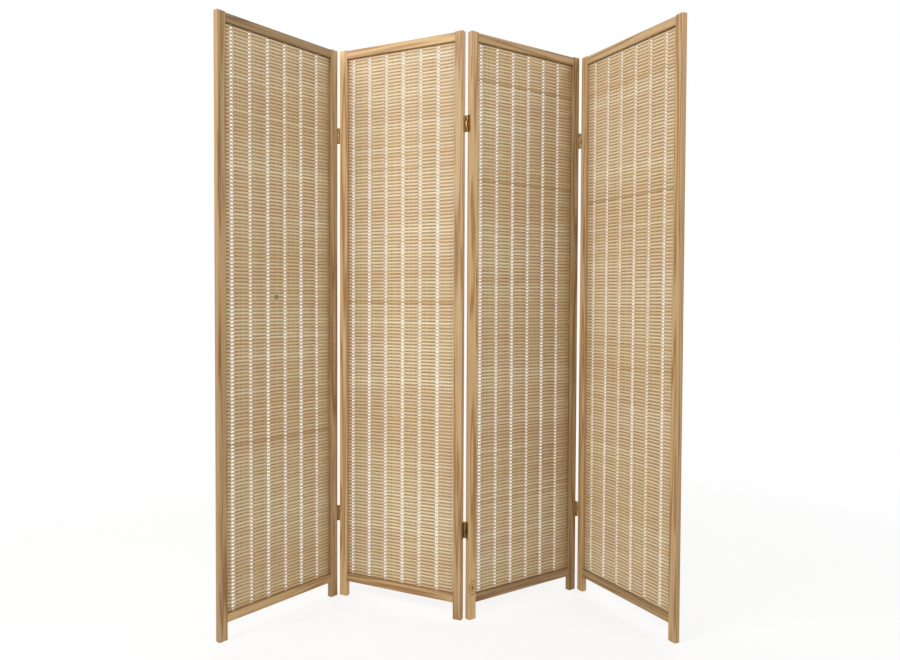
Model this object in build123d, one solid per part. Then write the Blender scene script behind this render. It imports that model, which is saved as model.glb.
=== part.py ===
"""Folding screen of four pine frames, each filled with a woven bamboo mat and hinged into a zigzag.

Units are millimetres, +Z is up and the fronts of the panels face -Y. Each panel is first made flat
in its own frame: x runs along it from its left outer side, y runs from its front face to its back,
and z rises from the floor. The panels are then set at the angles at which the screen stands.
The origin is the centre of the bottom of the box around the standing screen.
"""

import os
from itertools import count

from build123d import *

# Panel
PANEL_WIDTH = 440.0
PANEL_HEIGHT = 1778.0
FRAME_THICKNESS = 18.0
STILE_WIDTH = 27.0
TOP_RAIL_HEIGHT = 25.0
BOTTOM_RAIL_HEIGHT = 24.0
FOOT_HEIGHT = 50.0
STILE_HORN = 2.5
ARRIS = 1.0

# Frame joints: a tenon on each end of a rail, glued into a mortise in the stile
TENON_LENGTH = 18.0
TENON_THICKNESS = 8.0
TENON_SHOULDER = 4.0
MORTISE_END_GAP = 1.0

# Groove that holds the mat all round
GROOVE_DEPTH = 6.0
GROOVE_BACK_LIP = 3.8
MAT_FACE_CLEARANCE = 0.1
MAT_END_CLEARANCE = 0.5

# Mat splints
STRAND_THICKNESS = 1.4
SPLINT_THICKNESS = 1.6
SPLINT_HEIGHT = 6.4
STRANDS_PER_GROUP = 8
STRAND_GAP = 0.6
COLUMN_WIDTH = 11.0

# Mats, panel by panel: they are woven by hand and cut from different places of a roll. The open
# columns are shared out over the opening's width: how many of their pitches cross it, and at which
# share of it the first column lies.
ROW_PITCH = (10.54, 10.54, 10.41, 10.22)
COLUMNS_ACROSS = (6.236, 6.307, 6.236, 6.206)
FIRST_COLUMN_SHARE = (0.0661, 0.0466, 0.0479, 0.0764)
LEAST_STRAND_SHARE = 0.5

# Hinges
HINGE_LENGTH = 50.0
HINGE_END_DISTANCE = 273.0
LEAF_WIDTH = 12.5
LEAF_THICKNESS = 1.2
BARREL_RADIUS = 2.5
BARREL_SIDES = 16
BORE_SIDES = 8
KNUCKLES = 3
KNUCKLE_GAP = 0.3
KNUCKLE_CLEARANCE = 0.3
PIN_CLEARANCE = 0.05

# Folds from left to right: the inner angle between two panels, and where the pin of the fold is
FIRST_PANEL_HEADING = 50.4
FOLD_ANGLES = (104.0, 120.6, 84.8)
FRONT, BACK = -1, 1
PIN_SIDES = (FRONT, BACK, FRONT)

# Sizes that follow
OPENING_WIDTH = PANEL_WIDTH - 2 * STILE_WIDTH
OPENING_BOTTOM = FOOT_HEIGHT + BOTTOM_RAIL_HEIGHT
OPENING_TOP = PANEL_HEIGHT - STILE_HORN - TOP_RAIL_HEIGHT
OPENING_HEIGHT = OPENING_TOP - OPENING_BOTTOM
MAT_THICKNESS = STRAND_THICKNESS + 2 * SPLINT_THICKNESS
GROOVE_WIDTH = MAT_THICKNESS + 2 * MAT_FACE_CLEARANCE
GROOVE_BACK = FRAME_THICKNESS - GROOVE_BACK_LIP
GROOVE_FRONT = GROOVE_BACK - GROOVE_WIDTH
MAT_HOLD = GROOVE_DEPTH - MAT_END_CLEARANCE
FOLD_GAP = 2 * BARREL_RADIUS
PIN_RADIUS = BARREL_RADIUS - LEAF_THICKNESS - PIN_CLEARANCE
LOWER_HINGE = HINGE_END_DISTANCE - HINGE_LENGTH / 2
UPPER_HINGE = PANEL_HEIGHT - HINGE_END_DISTANCE - HINGE_LENGTH / 2


def box(x_range, y_range, z_range):
    """Return a box between two planes on each axis."""
    lows, highs = zip(x_range, y_range, z_range)
    sizes = [high - low for low, high in zip(lows, highs)]
    return Pos(*lows) * Box(*sizes, align=(Align.MIN, Align.MIN, Align.MIN))


def mirrored_in_panel(shape):
    """Return the same piece for the other side of the panel."""
    return mirror(shape, about=Plane.YZ.offset(PANEL_WIDTH / 2))


def tenon_heights(rail_bottom, rail_height, groove_side):
    """Return the heights between which a rail's tenon lies: clear of its groove and its outer edge."""
    if groove_side > 0:
        return rail_bottom + TENON_SHOULDER, rail_bottom + rail_height - GROOVE_DEPTH
    return rail_bottom + GROOVE_DEPTH, rail_bottom + rail_height - TENON_SHOULDER


def tenon_depths():
    """Return the depths between which every tenon lies, midway through the frame."""
    middle = FRAME_THICKNESS / 2
    return middle - TENON_THICKNESS / 2, middle + TENON_THICKNESS / 2


BOTTOM_TENON = tenon_heights(FOOT_HEIGHT, BOTTOM_RAIL_HEIGHT, groove_side=1)
TOP_TENON = tenon_heights(OPENING_TOP, TOP_RAIL_HEIGHT, groove_side=-1)


def left_stile():
    """Return the left stile: eased post, foot below the bottom rail, groove and two mortises."""
    post = box((0, STILE_WIDTH), (0, FRAME_THICKNESS), (0, PANEL_HEIGHT))
    post = chamfer(post.edges().filter_by(Axis.Z), ARRIS)
    post = chamfer(post.edges().group_by(Axis.Z)[-1], ARRIS)
    post -= box(
        (STILE_WIDTH - GROOVE_DEPTH, STILE_WIDTH),
        (GROOVE_FRONT, GROOVE_BACK),
        (OPENING_BOTTOM - GROOVE_DEPTH, OPENING_TOP + GROOVE_DEPTH),
    )
    mortise_bottom = STILE_WIDTH - TENON_LENGTH - MORTISE_END_GAP
    for heights in (BOTTOM_TENON, TOP_TENON):
        post -= box((mortise_bottom, STILE_WIDTH), tenon_depths(), heights)
    return post


def rail(bottom, height, tenon, groove_side):
    """Return a rail between the stiles, grooved along the edge that holds the mat, with its tenons."""
    bar = box((STILE_WIDTH, PANEL_WIDTH - STILE_WIDTH), (0, FRAME_THICKNESS), (bottom, bottom + height))
    bar = chamfer(bar.edges().filter_by(Axis.X), ARRIS)
    if groove_side > 0:
        groove = (bottom + height - GROOVE_DEPTH, bottom + height)
    else:
        groove = (bottom, bottom + GROOVE_DEPTH)
    bar -= box((STILE_WIDTH, PANEL_WIDTH - STILE_WIDTH), (GROOVE_FRONT, GROOVE_BACK), groove)
    reach = STILE_WIDTH - TENON_LENGTH
    bar += box((reach, STILE_WIDTH), tenon_depths(), tenon)
    bar += box((PANEL_WIDTH - STILE_WIDTH, PANEL_WIDTH - reach), tenon_depths(), tenon)
    return bar


def strand_edges(columns_across, first_column_share):
    """Return the upright strands' two sides across the opening, in groups parted by open columns.

    A strand that crosses the mat's side is cut there, and left out if too little of it remains.
    """
    pitch = OPENING_WIDTH / columns_across
    step = (pitch - COLUMN_WIDTH) / STRANDS_PER_GROUP
    least = LEAST_STRAND_SHARE * (step - STRAND_GAP)
    low, high = -MAT_HOLD, OPENING_WIDTH + MAT_HOLD
    edges = []
    for group in count():
        start = first_column_share * OPENING_WIDTH + COLUMN_WIDTH / 2 + (group - 1) * pitch
        if start > high:
            return edges
        for strand in range(STRANDS_PER_GROUP):
            left = max(low, start + strand * step + STRAND_GAP / 2)
            right = min(high, start + (strand + 1) * step - STRAND_GAP / 2)
            if right - left >= least:
                edges.append((left, right))


def warp_strands(columns_across, first_column_share):
    """Return the mat's upright strands: flat strips at mid thickness, held by the rails' grooves."""
    front = GROOVE_FRONT + MAT_FACE_CLEARANCE + SPLINT_THICKNESS
    return [
        box(
            (STILE_WIDTH + left, STILE_WIDTH + right),
            (front, front + STRAND_THICKNESS),
            (OPENING_BOTTOM - MAT_HOLD, OPENING_TOP + MAT_HOLD),
        )
        for left, right in strand_edges(columns_across, first_column_share)
    ]


def weft_splints(row_pitch):
    """Return the mat's level splints, one a row: odd rows before the strands, even rows behind."""
    rows = round(OPENING_HEIGHT / row_pitch)
    pitch = OPENING_HEIGHT / rows
    front = GROOVE_FRONT + MAT_FACE_CLEARANCE
    back = front + SPLINT_THICKNESS + STRAND_THICKNESS
    splints = []
    for row in range(rows):
        middle = OPENING_BOTTOM + (row + 0.5) * pitch
        near = front if row % 2 == 0 else back
        splints.append(
            box(
                (STILE_WIDTH - MAT_HOLD, PANEL_WIDTH - STILE_WIDTH + MAT_HOLD),
                (near, near + SPLINT_THICKNESS),
                (middle - SPLINT_HEIGHT / 2, middle + SPLINT_HEIGHT / 2),
            )
        )
    return splints


def knuckle_heights(leaf):
    """Return the stretches of the barrel that belong to a leaf: leaf 0 has the two end knuckles."""
    share = (HINGE_LENGTH + KNUCKLE_GAP) / KNUCKLES
    return [(k * share, (k + 1) * share - KNUCKLE_GAP) for k in range(KNUCKLES) if k % 2 == leaf]


def barrel(length):
    """Return a length of hinge barrel before it is bored."""
    return extrude(RegularPolygon(BARREL_RADIUS, BARREL_SIDES), length)


def bore(length):
    """Return the hole for the pin: its flats clear the pin all round."""
    radius = PIN_RADIUS + PIN_CLEARANCE
    return extrude(RegularPolygon(radius, BORE_SIDES, False, rotation=180 / BORE_SIDES), length)


def hinge_leaf(leaf, pin_side):
    """Return one hinge leaf around its pin's axis: a plate tangent to the barrel, and its knuckles.

    Leaf 0 lies on the stile to the left of the fold and leaf 1 on the one to the right.
    """
    outer = -BARREL_RADIUS if leaf == 0 else BARREL_RADIUS - LEAF_THICKNESS
    inward = -pin_side
    root = BARREL_RADIUS + KNUCKLE_CLEARANCE
    plate = box(
        (outer, outer + LEAF_THICKNESS),
        sorted((inward * root, inward * (BARREL_RADIUS + LEAF_WIDTH))),
        (0, HINGE_LENGTH),
    )
    for low, high in knuckle_heights(leaf):
        neck = box((outer, outer + LEAF_THICKNESS), sorted((0, inward * root)), (low, high))
        knuckle = barrel(high - low) - bore(high - low)
        plate += neck + Pos(0, 0, low) * knuckle
    return plate


def hinge_pin():
    """Return the pin that runs through all the knuckles, flush with their ends."""
    return extrude(RegularPolygon(PIN_RADIUS, BORE_SIDES), HINGE_LENGTH)


def pin_depth(pin_side):
    """Return how deep the pin's axis lies: the barrel touches the plane of the front or the back."""
    return -BARREL_RADIUS if pin_side == FRONT else FRAME_THICKNESS + BARREL_RADIUS


def plan_outline():
    """Return the corners of a panel seen from above, with its eased arrises cut off."""
    far_x, far_y = PANEL_WIDTH, FRAME_THICKNESS
    ends = [(x, y) for x in (0, far_x) for y in (ARRIS, far_y - ARRIS)]
    faces = [(x, y) for x in (ARRIS, far_x - ARRIS) for y in (0, far_y)]
    return ends + faces


def panel_places():
    """Return each panel's place in the standing screen, centred about the origin."""
    places = [Rot(Z=FIRST_PANEL_HEADING)]
    for angle, side in zip(FOLD_ANGLES, PIN_SIDES):
        to_pin = Pos(PANEL_WIDTH + FOLD_GAP / 2, pin_depth(side), 0)
        from_pin = Pos(FOLD_GAP / 2, -pin_depth(side), 0)
        places.append(places[-1] * to_pin * Rot(Z=side * (180 - angle)) * from_pin)
    corners = [(place * Pos(x, y, 0)).position for place in places for x, y in plan_outline()]
    middle_x = (min(c.X for c in corners) + max(c.X for c in corners)) / 2
    middle_y = (min(c.Y for c in corners) + max(c.Y for c in corners)) / 2
    return [Pos(-middle_x, -middle_y, 0) * place for place in places]


def panel_pieces(index):
    """Return one panel's named pieces in the panel's own frame."""
    number = index + 1
    stile = left_stile()
    return {
        f"left_stile_{number}": [stile],
        f"right_stile_{number}": [mirrored_in_panel(stile)],
        f"top_rail_{number}": [rail(OPENING_TOP, TOP_RAIL_HEIGHT, TOP_TENON, groove_side=-1)],
        f"bottom_rail_{number}": [rail(FOOT_HEIGHT, BOTTOM_RAIL_HEIGHT, BOTTOM_TENON, groove_side=1)],
        f"warp_strands_{number}": warp_strands(COLUMNS_ACROSS[index], FIRST_COLUMN_SHARE[index]),
        f"weft_splints_{number}": weft_splints(ROW_PITCH[index]),
    }


def fold_pieces(index, places):
    """Return the named pieces of the two hinges between a panel and the next one, in their places."""
    side = PIN_SIDES[index]
    fold = f"{index + 1}_{index + 2}"
    left = places[index] * Pos(PANEL_WIDTH + FOLD_GAP / 2, pin_depth(side), 0)
    right = places[index + 1] * Pos(-FOLD_GAP / 2, pin_depth(side), 0)
    levels = [Pos(0, 0, bottom) for bottom in (LOWER_HINGE, UPPER_HINGE)]
    return {
        f"left_leaves_{fold}": [hinge_leaf(0, side).moved(left * level) for level in levels],
        f"right_leaves_{fold}": [hinge_leaf(1, side).moved(right * level) for level in levels],
        f"hinge_pins_{fold}": [hinge_pin().moved(left * level) for level in levels],
    }


def screen_pieces():
    """Return every node's solids in the standing screen."""
    places = panel_places()
    nodes = {}
    for index, place in enumerate(places):
        for name, solids in panel_pieces(index).items():
            nodes[name] = [solid.moved(place) for solid in solids]
    for index in range(len(FOLD_ANGLES)):
        nodes.update(fold_pieces(index, places))
    return nodes


def main():
    """Write one file for each node."""
    os.makedirs("parts", exist_ok=True)
    for name, solids in screen_pieces().items():
        export_step(solids[0] if len(solids) == 1 else Compound(solids), f"parts/{name}.step")


if __name__ == "__main__":
    main()
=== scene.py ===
"""Looks of the bamboo folding screen: woven mats, pine frames, brass hinges, floor, light and camera.

Sizes are millimetres, as in the part's source, and each panel has its own frame: u runs along the
panel from its left outer side, y from its front face to its back, and z up from the floor. Places
in the scene itself are metres.
"""

import logging
import math
import random
from dataclasses import dataclass
from enum import Enum
from typing import NamedTuple

import bmesh
import bpy
from mathutils import Matrix, Vector


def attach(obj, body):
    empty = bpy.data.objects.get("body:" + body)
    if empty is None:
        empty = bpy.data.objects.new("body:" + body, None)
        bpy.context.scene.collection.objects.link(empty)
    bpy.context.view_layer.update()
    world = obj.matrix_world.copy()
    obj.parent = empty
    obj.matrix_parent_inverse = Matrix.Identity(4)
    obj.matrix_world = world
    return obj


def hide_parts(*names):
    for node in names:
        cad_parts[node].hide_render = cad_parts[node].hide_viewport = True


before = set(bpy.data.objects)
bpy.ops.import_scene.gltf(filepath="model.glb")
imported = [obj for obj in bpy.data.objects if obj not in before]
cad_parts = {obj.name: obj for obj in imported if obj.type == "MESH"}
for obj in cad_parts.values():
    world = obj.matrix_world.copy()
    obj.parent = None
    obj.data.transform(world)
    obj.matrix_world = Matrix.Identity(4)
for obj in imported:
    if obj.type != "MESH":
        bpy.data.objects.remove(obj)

MM = 0.001
PANEL_WIDTH = 440.0
PANEL_HEIGHT = 1778.0
FRAME_THICKNESS = 18.0
STILE_WIDTH = 27.0
OPENING_BOTTOM = 74.0
OPENING_TOP = 1750.5
FOLD_GAP = 5.0
# How far apart the rings of a wave texture lie at scale one
WAVE_SPACING = 0.314
WOOD_SPECULAR = 0.35
WOOD_IOR = 1.5
# How often bamboo fibres vary, per millimetre
FIBRES_ALONG = 0.02
FIBRES_ACROSS = 1.4
# Strands are numbered on from this for every group, which holds fewer of them
STRAND_NUMBER_STEP = 16.0

Colour = tuple[float, float, float, float]
log = logging.getLogger("folding_screen")


class GrainRun(Enum):
    """Which way the grain of a frame member runs."""

    UPRIGHT = "upright"
    LEVEL = "level"


class Twist(Enum):
    """Which of a row's two splints this is, by how it passes the other at the open columns."""

    OVER = 1
    UNDER = -1


class PinSide(Enum):
    """The face of the panels that a hinge's pin stands proud of."""

    FRONT = -1
    BACK = 1


def linear(hex_colour: str) -> Colour:
    """Turn an sRGB hex colour into the linear colour that a shader takes.

    Args:
        hex_colour: The colour as #RRGGBB.

    Returns:
        The linear red, green and blue, and an alpha of one.
    """
    values = [int(hex_colour[start : start + 2], 16) / 255 for start in (1, 3, 5)]
    red, green, blue = (v / 12.92 if v <= 0.04045 else ((v + 0.055) / 1.055) ** 2.4 for v in values)
    return red, green, blue, 1.0


def add_node(
    tree: bpy.types.NodeTree, kind: str, inputs: dict[str | int, object] | None = None, **settings: object
) -> bpy.types.Node:
    """Add a node with its settings and its inputs.

    Args:
        tree: The node tree that gets the node.
        kind: Blender's name of the node's type.
        inputs: For each input, by name or number, the socket to link or the value to set.
        settings: The node's own properties.

    Returns:
        The new node.
    """
    node = tree.nodes.new(kind)
    for name, value in settings.items():
        setattr(node, name, value)
    for key, value in (inputs or {}).items():
        if isinstance(value, bpy.types.NodeSocket):
            tree.links.new(value, node.inputs[key])
        else:
            node.inputs[key].default_value = value
    return node


def computed(
    tree: bpy.types.NodeTree, operation: str, *inputs: bpy.types.NodeSocket | float, **settings: object
) -> bpy.types.NodeSocket:
    """Add a node that works out a number from others, and return its result."""
    return add_node(tree, "ShaderNodeMath", dict(enumerate(inputs)), operation=operation, **settings).outputs[0]


def computed_vector(
    tree: bpy.types.NodeTree, operation: str, *inputs: bpy.types.NodeSocket | tuple[float, float, float]
) -> bpy.types.NodeSocket:
    """Add a node that works out a vector from others, and return its result."""
    return add_node(tree, "ShaderNodeVectorMath", dict(enumerate(inputs)), operation=operation).outputs[0]


def length(tree: bpy.types.NodeTree, vector: bpy.types.NodeSocket) -> bpy.types.NodeSocket:
    """Add a node that measures a vector, and return its length."""
    return add_node(tree, "ShaderNodeVectorMath", {0: vector}, operation="LENGTH").outputs["Value"]


def noise(
    tree: bpy.types.NodeTree,
    vector: bpy.types.NodeSocket,
    scale: float = 1.0,
    detail: float = 2.0,
    output: str | int = 0,
) -> bpy.types.NodeSocket:
    """Add a noise texture and return its number, or its colour if that is the output asked for."""
    inputs = {"Vector": vector, "Scale": scale, "Detail": detail}
    return add_node(tree, "ShaderNodeTexNoise", inputs).outputs[output]


def mixed(
    tree: bpy.types.NodeTree,
    share: bpy.types.NodeSocket | float,
    under: bpy.types.NodeSocket | Colour,
    over: bpy.types.NodeSocket | Colour,
) -> bpy.types.NodeSocket:
    """Add a node that lays a share of one colour over another, and return the colour."""
    return add_node(tree, "ShaderNodeMix", {0: share, 6: under, 7: over}, data_type="RGBA").outputs[2]


def ranged(
    tree: bpy.types.NodeTree,
    value: bpy.types.NodeSocket,
    from_range: tuple[float, float] = (0.0, 1.0),
    to_range: tuple[float, float] = (0.0, 1.0),
    smooth: bool = False,
) -> bpy.types.NodeSocket:
    """Add a node that maps one range of a value to another, and return the new value.

    Args:
        tree: The node tree.
        value: The value.
        from_range: The two ends of its range; the first may be the higher.
        to_range: What the two ends become.
        smooth: Whether the value eases in and out between them.

    Returns:
        The new value, which stays between the two ends.
    """
    limits = zip(("From Min", "From Max", "To Min", "To Max"), (*from_range, *to_range))
    kind = "SMOOTHSTEP" if smooth else "LINEAR"
    inputs = {"Value": value, **dict(limits)}
    return add_node(tree, "ShaderNodeMapRange", inputs, interpolation_type=kind).outputs[0]


def new_material(name: str) -> tuple[bpy.types.Material, bpy.types.NodeTree]:
    """Return a material with an empty node tree, and that tree."""
    material = bpy.data.materials.new(name)
    material.use_nodes = True
    material.node_tree.nodes.clear()
    return material, material.node_tree


def output_surface(tree: bpy.types.NodeTree, shader: bpy.types.NodeSocket) -> None:
    """Send a shader to the material's surface."""
    add_node(tree, "ShaderNodeOutputMaterial", {"Surface": shader})


def assign(piece: bpy.types.Object, material: bpy.types.Material) -> None:
    """Give a piece one material in all its slots."""
    if not piece.material_slots:
        piece.data.materials.append(material)
    for material_slot in piece.material_slots:
        material_slot.material = material


def finished_piece(name: str, shape: bmesh.types.BMesh, body: str) -> bpy.types.Object:
    """Turn a bmesh into a piece that stands at the origin and rides on a body.

    Args:
        name: The piece's name.
        shape: Its shape in metres in the row's frame; freed here.
        body: The body that it moves with.

    Returns:
        The new object.
    """
    mesh = bpy.data.meshes.new(name)
    shape.to_mesh(mesh)
    shape.free()
    piece = bpy.data.objects.new(name, mesh)
    bpy.context.scene.collection.objects.link(piece)
    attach(piece, body)
    log.info("%s: %d faces on %s", name, len(mesh.polygons), body)
    return piece


@dataclass(frozen=True)
class PanelPlace:
    """Where a panel stands: the plan angle it runs at and its left outer front corner on the floor."""

    heading: float
    corner: tuple[float, float]

    @classmethod
    def from_pin(
        cls, heading: float, pin: tuple[float, float], pin_in_panel: tuple[float, float]
    ) -> "PanelPlace":
        """Place a panel by the hinge pin that it turns on.

        Args:
            heading: The panel's plan angle in degrees.
            pin: The pin's place in the row's frame.
            pin_in_panel: The same pin's place in the panel's frame.

        Returns:
            The panel's place.
        """
        reach = Matrix.Rotation(math.radians(heading), 2) @ Vector(pin_in_panel)
        return cls(heading, (pin[0] - reach.x, pin[1] - reach.y))

    def spot(self, place: tuple[float, float]) -> tuple[float, float]:
        """Return where a place in the panel's frame lies in the row's frame, both seen from above."""
        reach = Matrix.Rotation(math.radians(self.heading), 2) @ Vector(place)
        return self.corner[0] + reach.x, self.corner[1] + reach.y

    @property
    def matrix(self) -> Matrix:
        """Return the matrix from the panel's frame in millimetres to the row's frame in metres."""
        turn = Matrix.Rotation(math.radians(self.heading), 4, "Z")
        return Matrix.Scale(MM, 4) @ Matrix.Translation((*self.corner, 0)) @ turn

    def coordinates(self, tree: bpy.types.NodeTree) -> bpy.types.NodeSocket:
        """Add nodes that give the panel's own coordinates in millimetres, and return their output."""
        spot = add_node(tree, "ShaderNodeTexCoord").outputs["Object"]
        inputs = {
            "Vector": spot,
            "Location": (self.corner[0] * MM, self.corner[1] * MM, 0),
            "Rotation": (0, 0, math.radians(self.heading)),
            "Scale": (MM, MM, MM),
        }
        return add_node(tree, "ShaderNodeMapping", inputs, vector_type="TEXTURE").outputs[0]


@dataclass(frozen=True)
class Knot:
    """A knot in a frame member: its place across and along the member, and its radius."""

    across: float
    along: float
    radius: float


class KnotSockets(NamedTuple):
    """What a knot does to its board: how far the rings swell, where the knot is, and its own rings."""

    swell: bpy.types.NodeSocket
    mask: bpy.types.NodeSocket
    rings: bpy.types.NodeSocket


@dataclass(frozen=True)
class Board:
    """How a frame member was cut: where the heart of the tree lay beside it and its knot; and its shade.

    The heart is given across the member and in depth, and the shift tells boards of one tree apart.
    """

    run: GrainRun
    heart: tuple[float, float]
    shift: float
    # Scales the wood's colour: partly the board's own tone, partly painted light and shade set member by member
    shade: float
    knot: Knot | None = None


@dataclass(frozen=True)
class PlanedPine:
    """Knotty pine, planed and thinly coated: pale early wood, orange late wood lines, dark knots.

    The coat is satin, so the surface is fairly rough, a little less on late wood.
    """

    early_wood: str = "#D0AF7F"
    late_wood: str = "#A07242"
    fibre: str = "#8A603A"
    knot_heart: str = "#8A5530"
    knot_rim: str = "#5B371E"
    ring_spacing: float = 4.4
    ring_wobble: float = 2.2
    late_sharpness: float = 2.4
    late_share: float = 0.9
    grain_stretch: float = 28.0
    sway: float = 20.0
    sway_frequency: float = 0.045
    fibre_frequency: tuple[float, float, float] = (1.1, 1.1, 0.006)
    fibre_edges: tuple[float, float] = (0.5, 0.75)
    fibre_share: float = 0.3
    patch_frequency: float = 0.08
    patch_edges: tuple[float, float] = (0.3, 0.7)
    patch_shades: tuple[float, float] = (-0.07, 0.06)
    rough_early: float = 0.62
    rough_late: float = 0.48
    relief: float = 0.15
    relief_strength: float = 0.35
    knot_squash: float = 0.72
    knot_raggedness: float = 0.5
    knot_rag_frequency: float = 2.2
    knot_edges: tuple[float, float] = (1.35, 1.1)
    knot_ring_turn: float = 11.0
    swell: float = 1.6
    swell_edges: tuple[float, float] = (5.5, 0.5)

    def material(self, name: str, place: PanelPlace, board: Board) -> bpy.types.Material:
        """Make the material of one frame member.

        Args:
            name: The material's name.
            place: The panel that the member belongs to.
            board: How the member was cut.

        Returns:
            The material.
        """
        material, tree = new_material(name)
        split = add_node(tree, "ShaderNodeSeparateXYZ", {0: place.coordinates(tree)}).outputs
        across, along = (split[0], split[2]) if board.run is GrainRun.UPRIGHT else (split[2], split[0])
        knot = self._knot(tree, board.knot, across, along) if board.knot else None
        behind = computed(tree, "SUBTRACT", split[1], board.heart[1])
        if knot:
            behind = computed(tree, "ADD", behind, knot.swell)
        trunk = self._trunk(tree, board, across, behind, along)
        rings = add_node(
            tree,
            "ShaderNodeTexWave",
            {
                "Vector": trunk,
                "Scale": WAVE_SPACING / self.ring_spacing,
                "Distortion": self.ring_wobble,
                "Detail": 2.0,
                "Detail Scale": 0.6,
            },
            wave_type="RINGS",
            rings_direction="Z",
            wave_profile="SIN",
        ).outputs["Fac"]
        late = computed(tree, "POWER", rings, self.late_sharpness)
        board_spot = add_node(tree, "ShaderNodeCombineXYZ", {0: across, 1: split[1], 2: along}).outputs[0]
        fine = add_node(
            tree,
            "ShaderNodeMapping",
            {"Vector": board_spot, "Scale": self.fibre_frequency},
            vector_type="POINT",
        ).outputs[0]
        fibres = noise(tree, fine, detail=3.0)
        colour = mixed(
            tree,
            ranged(tree, late, to_range=(0.0, self.late_share)),
            linear(self.early_wood),
            linear(self.late_wood),
        )
        fibre_share = ranged(tree, fibres, self.fibre_edges, (0.0, self.fibre_share), smooth=True)
        colour = mixed(tree, fibre_share, colour, linear(self.fibre))
        # The member's shade, its own tone together with painted light and shade, varied by random patches of
        # tone
        shades = tuple(board.shade + change for change in self.patch_shades)
        tone = ranged(tree, noise(tree, trunk, self.patch_frequency), self.patch_edges, shades)
        colour = add_node(
            tree, "ShaderNodeVectorMath", {0: colour, "Scale": tone}, operation="SCALE"
        ).outputs[0]
        if knot:
            knot_colour = mixed(tree, knot.rings, linear(self.knot_heart), linear(self.knot_rim))
            colour = mixed(tree, knot.mask, colour, knot_colour)
        rough = ranged(tree, late, to_range=(self.rough_early, self.rough_late))
        height = computed(tree, "ADD", late, fibres)
        bump = add_node(
            tree,
            "ShaderNodeBump",
            {"Height": height, "Strength": self.relief_strength, "Distance": self.relief * MM},
        ).outputs[0]
        inputs = {
            "Base Color": colour,
            "Roughness": rough,
            "Normal": bump,
            "IOR": WOOD_IOR,
            "Specular IOR Level": WOOD_SPECULAR,
        }
        output_surface(tree, add_node(tree, "ShaderNodeBsdfPrincipled", inputs).outputs[0])
        return material

    def _trunk(
        self,
        tree: bpy.types.NodeTree,
        board: Board,
        across: bpy.types.NodeSocket,
        behind: bpy.types.NodeSocket,
        along: bpy.types.NodeSocket,
    ) -> bpy.types.NodeSocket:
        """Add the nodes that give a place in the trunk that a board was cut from.

        Args:
            tree: The material's node tree.
            board: The board.
            across: The place across the board.
            behind: How far behind the heart of the tree the place is.
            along: The place along the board.

        Returns:
            The place in the trunk, with the heart on the third axis.
        """
        from_heart = computed(tree, "SUBTRACT", across, board.heart[0])
        slow = computed(tree, "MULTIPLY_ADD", along, 1 / self.grain_stretch, board.shift)
        trunk = add_node(tree, "ShaderNodeCombineXYZ", {0: from_heart, 1: behind, 2: slow}).outputs[0]
        # The trunk isn't straight: its rings sway by some millimetres over every half metre
        bend = noise(tree, trunk, self.sway_frequency, 1.5, "Color")
        size, middle = (self.sway, self.sway, 0), (-self.sway / 2, -self.sway / 2, 0)
        bend = computed_vector(tree, "MULTIPLY_ADD", bend, size, middle)
        return computed_vector(tree, "ADD", trunk, bend)

    def _knot(
        self,
        tree: bpy.types.NodeTree,
        knot: Knot,
        across: bpy.types.NodeSocket,
        along: bpy.types.NodeSocket,
    ) -> KnotSockets:
        """Add the nodes of a board's knot.

        Args:
            tree: The material's node tree.
            knot: The knot.
            across: The place across the board.
            along: The place along the board.

        Returns:
            The sockets that the board's other nodes take from them.
        """
        spot = add_node(tree, "ShaderNodeCombineXYZ", {0: across, 1: along}).outputs[0]
        scale = (1 / knot.radius, self.knot_squash / knot.radius, 0)
        shift = (-knot.across / knot.radius, -self.knot_squash * knot.along / knot.radius, 0)
        offset = computed_vector(tree, "MULTIPLY_ADD", spot, scale, shift)
        ragged = noise(tree, offset, self.knot_rag_frequency)
        reach = computed(tree, "MULTIPLY_ADD", ragged, self.knot_raggedness, length(tree, offset))
        here = ranged(tree, reach, self.knot_edges, smooth=True)
        around = ranged(tree, reach, self.swell_edges, (0.0, self.swell * knot.radius), smooth=True)
        circles = computed(tree, "SINE", computed(tree, "MULTIPLY", reach, self.knot_ring_turn))
        return KnotSockets(around, here, computed(tree, "MULTIPLY", circles, here, use_clamp=True))


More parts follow.
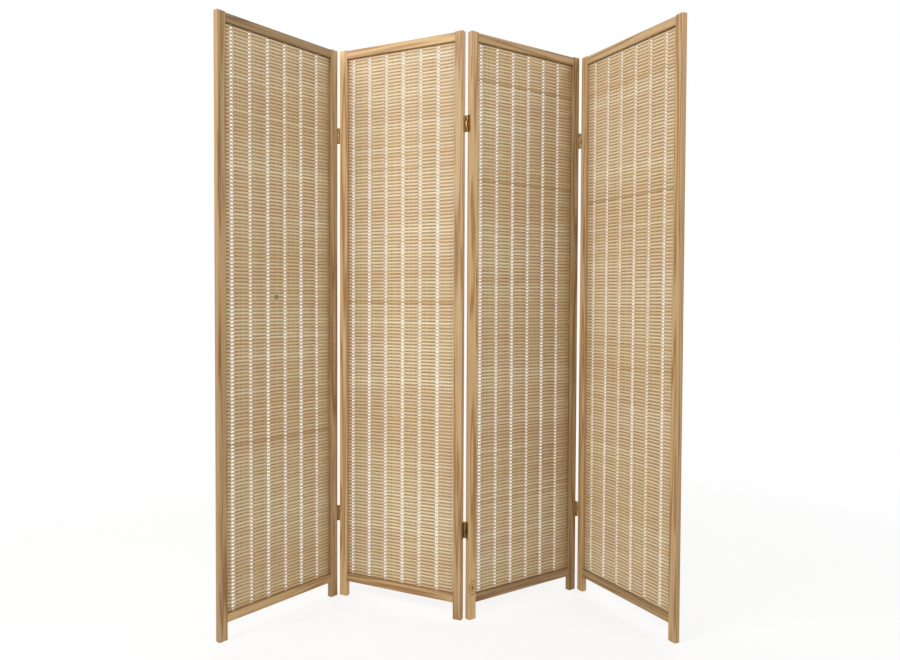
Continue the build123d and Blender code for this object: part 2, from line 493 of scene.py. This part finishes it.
@dataclass(frozen=True)
class SplitBamboo:
    """Bamboo split to thin strips and left bare: pale straw with fine lengthwise fibres and nodes.

    The inside of the cane is matt, so the strips are rougher than its glossy skin would be.
    """

    pale: str = "#EADBBD"
    straw: str = "#D0B587"
    peach: str = "#D8B795"
    skin: str = "#B28F60"
    fibre: str = "#A58152"
    node_line: str = "#7F6039"
    scorched: str = "#2B1D10"
    batch_frequency: tuple[float, float, float] = (0.002, 0.01, 0.016)
    peach_edges: tuple[float, float] = (0.4, 0.62)
    peach_share: float = 0.42
    skin_edges: tuple[float, float] = (0.86, 0.94)
    skin_share: float = 0.5
    fibre_edges: tuple[float, float] = (0.45, 0.8)
    fibre_share: float = 0.55
    node_spacing: float = 290.0
    node_scatter: float = 7919.0
    node_width: float = 0.008
    node_share: float = 0.6
    painted_dent_shade: float = 0.22
    roughness: float = 0.55
    relief: float = 0.2
    relief_strength: float = 0.4

    def shade(
        self,
        tree: bpy.types.NodeTree,
        name: str,
        coordinates: bpy.types.NodeSocket,
        along: bpy.types.NodeSocket,
        tone: bpy.types.NodeSocket,
        press: bpy.types.NodeSocket | float,
        mark: bpy.types.NodeSocket | float,
        fibre_frequency: tuple[float, float, float],
    ) -> None:
        """Fill a material's node tree.

        Args:
            tree: The material's node tree.
            name: The name of the shader node.
            coordinates: The panel's coordinates.
            along: The place along the strips.
            tone: A number from 0 to 1 that differs from strip to strip.
            press: How far the strands that cross this one press into it, from 0 to 1; it lowers the bump and
                paints shade into the dent.
            mark: Where a strip is scorched, from 0 to 1.
            fibre_frequency: How often the fibres vary in each direction, per millimetre.
        """
        fibres = noise(tree, computed_vector(tree, "MULTIPLY", coordinates, fibre_frequency))
        # Canes differ by the batch, so some stretches of a mat are pinker than others
        batch = noise(tree, computed_vector(tree, "MULTIPLY", coordinates, self.batch_frequency))
        # Every strip has its nodes elsewhere, so the strip's own number shifts them
        shifted = computed(tree, "MULTIPLY_ADD", tone, self.node_scatter, along)
        lap = computed(tree, "FRACT", computed(tree, "DIVIDE", shifted, self.node_spacing))
        cane_node = ranged(tree, lap, (self.node_width, 0.0), (0.0, self.node_share))
        layers = (
            (ranged(tree, batch, self.peach_edges, (0.0, self.peach_share), smooth=True), self.peach),
            (ranged(tree, tone, self.skin_edges, (0.0, self.skin_share)), self.skin),
            (ranged(tree, fibres, self.fibre_edges, (0.0, self.fibre_share), smooth=True), self.fibre),
            (cane_node, self.node_line),
            # Painted shade: the splint is darkened where the crossing strands press into it
            (computed(tree, "MULTIPLY", press, self.painted_dent_shade), self.fibre),
            (mark, self.scorched),
        )
        colour = mixed(tree, tone, linear(self.pale), linear(self.straw))
        for share, layer in layers:
            colour = mixed(tree, share, colour, linear(layer))
        height = computed(tree, "SUBTRACT", computed(tree, "ADD", fibres, cane_node), press)
        bump = add_node(
            tree,
            "ShaderNodeBump",
            {"Height": height, "Strength": self.relief_strength, "Distance": self.relief * MM},
        ).outputs[0]
        inputs = {
            "Base Color": colour,
            "Roughness": self.roughness,
            "Normal": bump,
            "Specular IOR Level": WOOD_SPECULAR,
        }
        output_surface(tree, add_node(tree, "ShaderNodeBsdfPrincipled", inputs, name=name).outputs[0])


@dataclass(frozen=True)
class AntiqueBrass:
    """Brass plated steel, darkened by hand: worn golden where rubbed, brown elsewhere."""

    worn: str = "#B7995F"
    dark: str = "#57431F"
    patch_size: float = 3.0
    patch_edges: tuple[float, float] = (0.4, 0.62)
    roughness: tuple[float, float] = (0.22, 0.45)

    def material(self) -> bpy.types.Material:
        """Make the material, which every hinge shares."""
        material, tree = new_material("antique_brass")
        spot = add_node(tree, "ShaderNodeTexCoord").outputs["Object"]
        patches = noise(tree, spot, 1 / (self.patch_size * MM), 3.0)
        share = ranged(tree, patches, self.patch_edges, smooth=True)
        colour = mixed(tree, share, linear(self.worn), linear(self.dark))
        rough = ranged(tree, patches, to_range=self.roughness)
        inputs = {"Base Color": colour, "Roughness": rough, "Metallic": 1.0}
        output_surface(tree, add_node(tree, "ShaderNodeBsdfPrincipled", inputs).outputs[0])
        return material


@dataclass
class WovenMat:
    """One panel's mat: rows of twined bamboo splints around flat upright strands.

    Each row is a pair of splints, one before the strands and one behind. They change places at every
    open column, where they turn edge-on, one over the other, and stand a little higher.
    """

    number: int
    place: PanelPlace
    rows: int
    first_column: float
    column_pitch: float
    scorch: tuple[float, float] | None = None
    scorch_size: tuple[float, float] = (26.0, 15.0)
    scorch_share: float = 0.9
    column_width: float = 11.0
    strands_per_group: int = 8
    middle_depth: float = 11.8
    side_depth: float = 1.5
    hold: float = 5.5
    splint_height: float = 7.4
    splint_thickness: float = 1.6
    pinched_height: float = 5.0
    pinch_turn: float = 64.0
    stack: float = 1.7
    rise: float = 3.1
    crossing_reach: float = 6.4
    crossing_steps: int = 3
    section_sides: int = 6
    waver: float = 0.45
    long_wave: tuple[float, float] = (96.0, 210.0)
    short_wave: tuple[float, float] = (37.0, 83.0)
    short_share: float = 0.6
    own_wave: float = 58.0
    own_share: float = 0.3
    own_lift: float = 0.22
    slack_reach: float = 60.0
    tone_middle: float = 0.42
    tone_swing: float = 0.16
    tone_rows: float = 7.0
    tone_spread: float = 0.17
    tone_limit: float = 0.85
    tone_in_pair: tuple[float, float] = (-0.06, 0.04)
    skin_tone: float = 0.95
    skin_share: float = 0.007

    @property
    def row_pitch(self) -> float:
        """Return the height from one row to the next."""
        return (OPENING_TOP - OPENING_BOTTOM) / self.rows

    def columns(self) -> list[float]:
        """Return the middles of the open columns along the panel."""
        inside = PANEL_WIDTH - 2 * STILE_WIDTH
        count = int((inside - self.first_column) / self.column_pitch) + 1
        return [STILE_WIDTH + self.first_column + k * self.column_pitch for k in range(count)]

    def section(self, u: float, column: int, share: float, twist: Twist) -> Matrix:
        """Return the matrix that sets a splint's round section in its place.

        Args:
            u: The place along the panel.
            column: The number of the nearest open column.
            share: The place across that column's crossing, from -1 to 1.
            twist: Which of the two splints it is.

        Returns:
            The matrix from the unit circle to the section, in the panel's frame, for row zero.
        """
        pinch = math.cos(math.pi / 2 * share)
        swap = math.sin(math.pi / 2 * share) * (1 if column % 2 == 0 else -1) * twist.value
        turn = math.radians(self.pinch_turn) * pinch**2 * twist.value
        height = self.splint_height + (self.pinched_height - self.splint_height) * pinch
        level = OPENING_BOTTOM + self.row_pitch / 2 + (self.rise + self.stack * twist.value) * pinch
        spot = Matrix.Translation((u, self.middle_depth + self.side_depth * swap, level))
        stand = Matrix(((0, 0, 1, 0), (0, -1, 0, 0), (1, 0, 0, 0), (0, 0, 0, 1)))
        # A hexagon on its corner is narrower across its flats, so it is widened to the full thickness
        crown = 1 / math.sin(math.radians(60))
        size = Matrix.Diagonal((height / 2, self.splint_thickness / 2 * crown, 1, 1))
        return spot @ Matrix.Rotation(turn, 4, "X") @ stand @ size

    def sections(self, twist: Twist) -> list[Matrix]:
        """Return a splint's sections from the left groove to the right one.

        Args:
            twist: Which of a row's two splints it is.

        Returns:
            Their matrices, in order.
        """
        columns = self.columns()
        start = self.section(STILE_WIDTH - self.hold, 0, -1, twist)
        found = [start]
        for number, middle in enumerate(columns):
            for step in range(-self.crossing_steps, self.crossing_steps + 1):
                share = step / self.crossing_steps
                found.append(self.section(middle + share * self.crossing_reach, number, share, twist))
        found.append(self.section(PANEL_WIDTH - STILE_WIDTH + self.hold, len(columns) - 1, 1, twist))
        return found

    def first_row(self, twist: Twist) -> bmesh.types.BMesh:
        """Extrude one splint along its sections.

        Args:
            twist: Which of a row's two splints it is.

        Returns:
            The closed splint, in the panel's frame.
        """
        shape = bmesh.new()
        ring = bmesh.ops.create_circle(shape, segments=self.section_sides, radius=1)["verts"]
        sections = self.sections(twist)
        bmesh.ops.transform(shape, matrix=sections[0], verts=ring)
        edges = shape.edges[:]
        for before, after in zip(sections, sections[1:]):
            grown = bmesh.ops.extrude_edge_only(shape, edges=edges)["geom"]
            ring = [part for part in grown if isinstance(part, bmesh.types.BMVert)]
            edges = [part for part in grown if isinstance(part, bmesh.types.BMEdge)]
            bmesh.ops.transform(shape, matrix=after @ before.inverted(), verts=ring)
        rims = [edge for edge in shape.edges if edge.is_boundary]
        bmesh.ops.holes_fill(shape, edges=rims, sides=self.section_sides)
        bmesh.ops.recalc_face_normals(shape, faces=shape.faces)
        for face in shape.faces:
            face.smooth = len(face.verts) == 4
        return shape

    def build(self, twist: Twist) -> bpy.types.Object:
        """Make the piece with every row's splint of one kind.

        Args:
            twist: Which of each row's two splints it is.

        Returns:
            The piece.
        """
        shared_chance = random.Random(self.number)
        own_chance = random.Random(self.number * 10 + twist.value)
        shape = self.first_row(twist)
        tones = shape.faces.layers.float.new("tone")
        first = shape.verts[:] + shape.edges[:] + shape.faces[:]
        rows = [(shape.verts[:], shape.faces[:])]
        for number in range(1, self.rows):
            copy = bmesh.ops.duplicate(shape, geom=first)["geom"]
            verts = [part for part in copy if isinstance(part, bmesh.types.BMVert)]
            bmesh.ops.translate(shape, verts=verts, vec=(0, 0, number * self.row_pitch))
            rows.append((verts, [part for part in copy if isinstance(part, bmesh.types.BMFace)]))
        for number, (verts, faces) in enumerate(rows):
            tone = self.tone_middle + self.tone_swing * math.sin(number / self.tone_rows + self.number)
            tone = min(max(tone + shared_chance.gauss(0, self.tone_spread), 0), self.tone_limit)
            if shared_chance.random() < self.skin_share:
                tone = self.skin_tone
            tone += own_chance.uniform(*self.tone_in_pair)
            phase = own_chance.uniform(0, math.tau)
            lift = own_chance.uniform(-self.own_lift, self.own_lift)
            for face in faces:
                face[tones] = tone
            for vert in verts:
                vert.co.z += self._drift(vert.co.x, vert.co.z, phase) + lift
        bmesh.ops.transform(shape, matrix=self.place.matrix, verts=shape.verts)
        name = f"weft_{twist.name.lower()}_{self.number}"
        piece = finished_piece(name, shape, f"panel_{self.number}")
        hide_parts(f"weft_splints_{self.number}")
        return piece

    def _drift(self, u: float, z: float, phase: float) -> float:
        """Return how far a splint has slipped up at one place: not at all right beside the rails.

        Args:
            u: The place along the panel.
            z: The height of the place.
            phase: The splint's own phase.

        Returns:
            The slip, most of which the rows near it share.
        """
        (long_u, long_z), (short_u, short_z) = self.long_wave, self.short_wave
        shared = math.sin(u / long_u + z / long_z + self.number)
        shared = shared + self.short_share * math.sin(u / short_u + z / short_z)
        own = self.own_share * math.sin(u / self.own_wave + phase)
        slack = min(z - OPENING_BOTTOM, OPENING_TOP - z, self.slack_reach) / self.slack_reach
        return self.waver * (shared + own) * slack

    def strand_count(
        self, tree: bpy.types.NodeTree, u: bpy.types.NodeSocket
    ) -> tuple[bpy.types.NodeSocket, bpy.types.NodeSocket]:
        """Add the nodes that count the upright strands along the panel.

        Args:
            tree: The material's node tree.
            u: The place along the panel.

        Returns:
            The number of the group of strands, and the place in it counted in strands.
        """
        start = STILE_WIDTH + self.first_column + self.column_width / 2 - self.column_pitch
        step = (self.column_pitch - self.column_width) / self.strands_per_group
        local = computed(tree, "SUBTRACT", u, start)
        group = computed(tree, "FLOOR", computed(tree, "DIVIDE", local, self.column_pitch))
        local = computed(tree, "MULTIPLY_ADD", group, -self.column_pitch, local)
        return group, computed(tree, "DIVIDE", local, step)

    def splint_material(self, finish: SplitBamboo) -> bpy.types.Material:
        """Return the splints' material: their fibres run level, and the strands dent them, with painted shade
        in the dents.
        """
        material, tree = new_material(f"split_bamboo_splints_{self.number}")
        coordinates = self.place.coordinates(tree)
        along = add_node(tree, "ShaderNodeSeparateXYZ", {0: coordinates}).outputs[0]
        tone = add_node(tree, "ShaderNodeAttribute", attribute_name="tone").outputs["Fac"]
        strand = self.strand_count(tree, along)[1]
        wave = computed(tree, "COSINE", computed(tree, "MULTIPLY", strand, math.tau))
        press = ranged(tree, wave)
        mark = self._scorch_mark(tree, coordinates) if self.scorch else 0.0
        fibres = (FIBRES_ALONG, FIBRES_ACROSS, FIBRES_ACROSS)
        finish.shade(tree, "splint", coordinates, along, tone, press, mark, fibres)
        return material

    def _scorch_mark(
        self, tree: bpy.types.NodeTree, coordinates: bpy.types.NodeSocket
    ) -> bpy.types.NodeSocket:
        """Return a socket that shows where the mat is scorched, from the panel's coordinates."""
        (u, z), (width, height) = self.scorch, self.scorch_size
        scale, shift = (2 / width, 0, 2 / height), (-2 * u / width, 0, -2 * z / height)
        offset = computed_vector(tree, "MULTIPLY_ADD", coordinates, scale, shift)
        return ranged(tree, length(tree, offset), (1.0, 0.5), (0.0, self.scorch_share), smooth=True)

    def strand_material(self, finish: SplitBamboo) -> bpy.types.Material:
        """Return the upright strands' material: their fibres run up, and each has its own tone; its darker
        finish is painted shade.
        """
        material, tree = new_material(f"shaded_split_bamboo_strands_{self.number}")
        coordinates = self.place.coordinates(tree)
        split = add_node(tree, "ShaderNodeSeparateXYZ", {0: coordinates}).outputs
        group, strand = self.strand_count(tree, split[0])
        strand = computed(tree, "FLOOR", strand)
        strand = computed(tree, "MULTIPLY_ADD", group, STRAND_NUMBER_STEP, strand)
        tone = add_node(
            tree, "ShaderNodeTexWhiteNoise", {"W": strand}, noise_dimensions="1D"
        ).outputs["Value"]
        fibres = (FIBRES_ACROSS, FIBRES_ACROSS, FIBRES_ALONG)
        finish.shade(tree, "strand", coordinates, split[2], tone, press=0.0, mark=0.0, fibre_frequency=fibres)
        return material

    def make(self, splints: SplitBamboo, strands: SplitBamboo) -> None:
        """Make and dress the mat.

        Args:
            splints: The finish of the level splints.
            strands: The finish of the upright strands.
        """
        material = self.splint_material(splints)
        for twist in Twist:
            assign(self.build(twist), material)
        assign(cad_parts[f"warp_strands_{self.number}"], self.strand_material(strands))


@dataclass
class FoldHinges:
    """The two butt hinges of a fold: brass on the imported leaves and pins, and screws in each leaf."""

    left_number: int
    left: PanelPlace
    right: PanelPlace
    pin_side: PinSide
    leaf_thickness: float = 1.2
    barrel_radius: float = 2.5
    screw_from_pin: float = 8.9
    hinge_length: float = 50.0
    end_distance: float = 273.0
    screw_inset: float = 10.0
    head_radius: float = 2.6
    head_height: float = 0.45
    head_taper: float = 0.8
    head_sides: int = 16
    slot_width: float = 0.7
    slot_depth: float = 0.35

    @property
    def screw_levels(self) -> list[float]:
        """Return the heights of a stile's screws, from the floor up."""
        middles = (self.end_distance, PANEL_HEIGHT - self.end_distance)
        reach = self.hinge_length / 2 - self.screw_inset
        return [middle + side * reach for middle in middles for side in (-1, 1)]

    def screw(self) -> bmesh.types.BMesh:
        """Return one screw head, flat side down on the plane z = 0, with a sawn slot."""
        shape = bmesh.new()
        bmesh.ops.create_cone(
            shape,
            cap_ends=True,
            segments=self.head_sides,
            radius1=self.head_radius,
            radius2=self.head_radius * self.head_taper,
            depth=self.head_height,
        )
        bmesh.ops.translate(shape, verts=shape.verts, vec=(0, 0, self.head_height / 2))
        top = [face for face in shape.faces if face.normal.z > 0.9]
        for side in (-1, 1):
            parts = top + list(dict.fromkeys(edge for face in top for edge in face.edges))
            parts += list(dict.fromkeys(vert for face in top for vert in face.verts))
            cut = bmesh.ops.bisect_plane(
                shape, geom=parts, plane_co=(0, side * self.slot_width / 2, 0), plane_no=(0, side, 0)
            )
            top = [part for part in cut["geom"] if isinstance(part, bmesh.types.BMFace)]
        middle = [face for face in top if abs(face.calc_center_median().y) < self.slot_width / 2]
        pit = bmesh.ops.extrude_face_region(shape, geom=middle)["geom"]
        floor = [part for part in pit if isinstance(part, bmesh.types.BMVert)]
        bmesh.ops.delete(shape, geom=middle, context="FACES_KEEP_BOUNDARY")
        bmesh.ops.translate(shape, verts=floor, vec=(0, 0, -self.slot_depth))
        bmesh.ops.recalc_face_normals(shape, faces=shape.faces)
        return shape

    def screws(self, number: int, place: PanelPlace, face_u: float, outward: int) -> bpy.types.Object:
        """Make the screws of one panel's leaves at this fold.

        Args:
            number: The panel's number.
            place: The panel's place.
            face_u: Where the leaf's open face lies along the panel.
            outward: 1 if that face looks along the panel, -1 if it looks back.

        Returns:
            The piece with all of them.
        """
        chance = random.Random(number * 7 + self.left_number)
        side = self.pin_side.value
        pin_depth = -self.barrel_radius if side < 0 else FRAME_THICKNESS + self.barrel_radius
        depth = pin_depth - side * self.screw_from_pin
        whole = bpy.data.meshes.new("screw_heads")
        shape = bmesh.new()
        tip = Matrix.Rotation(math.radians(90 * outward), 4, "Y")
        for level in self.screw_levels:
            screw = self.screw()
            spin = Matrix.Rotation(chance.uniform(0, math.pi), 4, "Z")
            spot = Matrix.Translation((face_u, depth, level))
            bmesh.ops.transform(screw, matrix=place.matrix @ spot @ tip @ spin, verts=screw.verts)
            screw.to_mesh(whole)
            screw.free()
            shape.from_mesh(whole)
        bpy.data.meshes.remove(whole)
        name = f"hinge_screws_{self.left_number}_{self.left_number + 1}_on_{number}"
        return finished_piece(name, shape, f"panel_{number}")

    def make(self, brass: bpy.types.Material) -> None:
        """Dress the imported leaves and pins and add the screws.

        Args:
            brass: The hinges' material.
        """
        fold = f"{self.left_number}_{self.left_number + 1}"
        for part in ("left_leaves", "right_leaves", "hinge_pins"):
            assign(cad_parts[f"{part}_{fold}"], brass)
        left_face = PANEL_WIDTH + self.leaf_thickness
        assign(self.screws(self.left_number, self.left, left_face, 1), brass)
        assign(self.screws(self.left_number + 1, self.right, -self.leaf_thickness, -1), brass)


@dataclass
class FramedPanel:
    """One panel: its place, its mat and how the four members of its frame were cut."""

    number: int
    place: PanelPlace
    mat: WovenMat
    left_stile: Board
    right_stile: Board
    top_rail: Board
    bottom_rail: Board

    def make(self, pine: PlanedPine, splints: SplitBamboo, strands: SplitBamboo) -> None:
        """Dress the frame and make the mat.

        Args:
            pine: The frame's finish.
            splints: The finish of the level splints.
            strands: The finish of the upright strands.
        """
        members = {
            "left_stile": self.left_stile,
            "right_stile": self.right_stile,
            "top_rail": self.top_rail,
            "bottom_rail": self.bottom_rail,
        }
        for member, board in members.items():
            node = f"{member}_{self.number}"
            assign(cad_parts[node], pine.material(f"planed_pine_{node}", self.place, board))
            log.info("%s dressed in pine", node)
        self.mat.make(splints, strands)


@dataclass(frozen=True)
class Lamp:
    """A soft rectangular lamp that looks at the screen."""

    name: str
    spot: tuple[float, float, float]
    target: tuple[float, float, float]
    size: tuple[float, float]
    power: float

    def make(self) -> None:
        """Hang the lamp."""
        light = bpy.data.lights.new(self.name, "AREA")
        light.shape, light.size, light.size_y, light.energy = "RECTANGLE", *self.size, self.power
        lamp = bpy.data.objects.new(self.name, light)
        lamp.location = self.spot
        lamp.visible_camera = False
        lamp.rotation_euler = (Vector(self.target) - Vector(self.spot)).to_track_quat("-Z", "Y").to_euler()
        bpy.context.scene.collection.objects.link(lamp)


@dataclass
class Studio:
    """The white floor, the soft light and the camera."""

    world_strength: float = 0.34
    floor_reach: float = 14.0
    floor_colour: str = "#F4F4F2"
    floor_glow: float = 0.8
    shadow_reach: tuple[float, float] = (1.3, 2.8)
    sensor_width: float = 36.0
    lens: float = 28.689
    pitch: float = -1.540
    roll: float = 0.249
    shift: tuple[float, float] = (-0.00143, -0.01136)
    eye: tuple[float, float, float] = (0.00517, -2.21130, 0.97308)
    lamps: tuple[Lamp, ...] = (
        Lamp("left_lamp", (-2.35, -1.8, 2.6), (0.0, 0.0, 1.2), (1.2, 1.2), 64.0),
        Lamp("front_lamp", (0.0, -3.3, 2.7), (0.0, 0.0, 1.2), (1.6, 1.0), 36.0),
        Lamp("right_lamp", (2.6, -1.3, 2.6), (0.0, 0.0, 1.2), (1.2, 1.2), 24.0),
        Lamp("back_left_lamp", (-1.9, 2.7, 2.6), (0.0, 0.0, 1.0), (1.6, 1.2), 42.0),
        Lamp("back_right_lamp", (2.1, 2.5, 2.6), (0.0, 0.0, 1.0), (1.6, 1.2), 36.0),
    )

    def floor(self) -> None:
        """Lay the floor: white to the camera, apart from the shadow around the screen."""
        shape = bmesh.new()
        bmesh.ops.create_grid(shape, x_segments=1, y_segments=1, size=self.floor_reach)
        mesh = bpy.data.meshes.new("floor")
        shape.to_mesh(mesh)
        shape.free()
        piece = bpy.data.objects.new("floor", mesh)
        bpy.context.scene.collection.objects.link(piece)
        material, tree = new_material("white_studio_floor")
        spot = add_node(tree, "ShaderNodeTexCoord").outputs["Object"]
        glow = ranged(tree, length(tree, spot), self.shadow_reach, (self.floor_glow, 1.0), smooth=True)
        share = computed(tree, "MULTIPLY", glow, self.seen_directly(tree))
        matt = add_node(tree, "ShaderNodeBsdfDiffuse", {"Color": linear(self.floor_colour)}).outputs[0]
        white = add_node(tree, "ShaderNodeEmission", {"Strength": 1.0}).outputs[0]
        both = add_node(tree, "ShaderNodeMixShader", {0: share, 1: matt, 2: white}).outputs[0]
        output_surface(tree, both)
        assign(piece, material)

    def seen_directly(self, tree: bpy.types.NodeTree) -> bpy.types.NodeSocket:
        """Return a socket that is 1 for rays of the camera, of gloss and through glass."""
        ray = add_node(tree, "ShaderNodeLightPath").outputs
        seen = computed(tree, "MAXIMUM", ray["Is Camera Ray"], ray["Is Glossy Ray"])
        return computed(tree, "MAXIMUM", seen, ray["Is Transmission Ray"])

    def world(self) -> None:
        """Light the room evenly, with a white background."""
        world = bpy.data.worlds.new("white_room")
        bpy.context.scene.world = world
        world.use_nodes = True
        tree = world.node_tree
        tree.nodes.clear()
        strength = ranged(tree, self.seen_directly(tree), to_range=(self.world_strength, 1.0))
        inputs = {"Color": linear("#FFFFFF"), "Strength": strength}
        glow = add_node(tree, "ShaderNodeBackground", inputs).outputs[0]
        add_node(tree, "ShaderNodeOutputWorld", {"Surface": glow})

    def camera(self) -> None:
        """Set up the camera where the photograph was taken."""
        pitch, roll = math.radians(self.pitch), math.radians(self.roll)
        forward = Vector((0, math.cos(pitch), math.sin(pitch)))
        upright = Vector((0, -math.sin(pitch), math.cos(pitch)))
        level = Vector((1, 0, 0))
        right = level * math.cos(roll) + upright * math.sin(roll)
        up = upright * math.cos(roll) - level * math.sin(roll)
        data = bpy.data.cameras.new("camera")
        data.sensor_width, data.lens = self.sensor_width, self.lens
        data.shift_x, data.shift_y = self.shift
        camera = bpy.data.objects.new("camera", data)
        turn = Matrix((right, up, -forward)).transposed().to_4x4()
        camera.matrix_world = Matrix.Translation(self.eye) @ turn
        bpy.context.scene.collection.objects.link(camera)
        bpy.context.scene.camera = camera

    def make(self) -> None:
        """Set up the floor, the lamps, the world and the camera."""
        bpy.context.scene.view_settings.view_transform = "Standard"
        self.floor()
        self.world()
        for lamp in self.lamps:
            lamp.make()
        self.camera()


FIRST_HEADING = 50.4
# Where the first fold's pin stands in the row's frame
FIRST_PIN = (-362.98, 133.365)
# The inner angle of each fold, and the side of its pin
FOLD_ANGLES = (104.0, 120.6, 84.8)
PIN_SIDES = (PinSide.FRONT, PinSide.BACK, PinSide.FRONT)
PIN_DEPTHS = {PinSide.FRONT: -FOLD_GAP / 2, PinSide.BACK: FRAME_THICKNESS + FOLD_GAP / 2}


def panel_places() -> list[PanelPlace]:
    """Return the panels' places from left to right, each set by the pin it shares with the last."""
    left_of_panel, right_of_panel = -FOLD_GAP / 2, PANEL_WIDTH + FOLD_GAP / 2
    first_pin_in_panel = (right_of_panel, PIN_DEPTHS[PIN_SIDES[0]])
    places = [PanelPlace.from_pin(FIRST_HEADING, FIRST_PIN, first_pin_in_panel)]
    for angle, side in zip(FOLD_ANGLES, PIN_SIDES):
        before = places[-1]
        pin = before.spot((right_of_panel, PIN_DEPTHS[side]))
        heading = before.heading + (180 - angle) * side.value
        places.append(PanelPlace.from_pin(heading, pin, (left_of_panel, PIN_DEPTHS[side])))
    return places


def folding_screen() -> tuple[list[FramedPanel], list[FoldHinges]]:
    """Return the screen's panels and folds from left to right."""
    places = panel_places()
    mats = (
        WovenMat(1, places[0], rows=159, first_column=25.5, column_pitch=61.9, scorch=(205, 981)),
        WovenMat(2, places[1], rows=159, first_column=18.0, column_pitch=61.2),
        WovenMat(3, places[2], rows=161, first_column=18.5, column_pitch=61.9),
        WovenMat(4, places[3], rows=164, first_column=29.5, column_pitch=62.2),
    )
    # Each board's last number is its shade: its own tone together with painted light and shade, lighter on
    # members that face the light and darker on those in shade
    boards = (
        (
            Board(GrainRun.UPRIGHT, (9, 48), 3.1, 0.73),
            Board(GrainRun.UPRIGHT, (432, -44), 8.4, 0.76),
            Board(GrainRun.LEVEL, (1768, 54), 2.2, 0.53),
            Board(GrainRun.LEVEL, (60, 46), 6.7, 0.86),
        ),
        (
            Board(GrainRun.UPRIGHT, (8, 46), 12.9, 1.13),
            Board(GrainRun.UPRIGHT, (431, 40), 17.3, 0.8),
            Board(GrainRun.LEVEL, (1759, -47), 21.6, 0.98),
            Board(GrainRun.LEVEL, (66, 55), 25.8, 0.83),
        ),
        (
            Board(GrainRun.UPRIGHT, (17, 38), 29.5, 0.95, Knot(14, 97, 4)),
            Board(GrainRun.UPRIGHT, (434, 50), 33.9, 0.64),
            Board(GrainRun.LEVEL, (1766, 46), 37.2, 0.73),
            Board(GrainRun.LEVEL, (58, -50), 41.1, 0.58),
        ),
        (
            Board(GrainRun.UPRIGHT, (7, -42), 45.3, 0.9),
            Board(GrainRun.UPRIGHT, (424, 44), 49.9, 0.82),
            Board(GrainRun.LEVEL, (1760, 54), 53.4, 0.79),
            Board(GrainRun.LEVEL, (64, 44), 57.7, 0.61),
        ),
    )
    panels = [FramedPanel(mat.number, mat.place, mat, *members) for mat, members in zip(mats, boards)]
    folds = [
        FoldHinges(number, places[number - 1], places[number], side)
        for number, side in enumerate(PIN_SIDES, start=1)
    ]
    return panels, folds


def main() -> None:
    """Dress the screen and set up the studio."""
    logging.basicConfig(level=logging.INFO, format="%(name)s: %(message)s")
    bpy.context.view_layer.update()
    panels, folds = folding_screen()
    pine = PlanedPine()
    splints = SplitBamboo()
    # The strands' finish is the splints' bamboo drawn darker: painted shade for the gaps between the splints
    # where they show
    strands = SplitBamboo(pale="#C6AF86", straw="#A98A5C", peach="#B08D66", skin="#8F7046", fibre="#86663C")
    for panel in panels:
        panel.make(pine, splints, strands)
    brass = AntiqueBrass().material()
    for fold in folds:
        fold.make(brass)
    Studio().make()


if __name__ == "__main__":
    main()
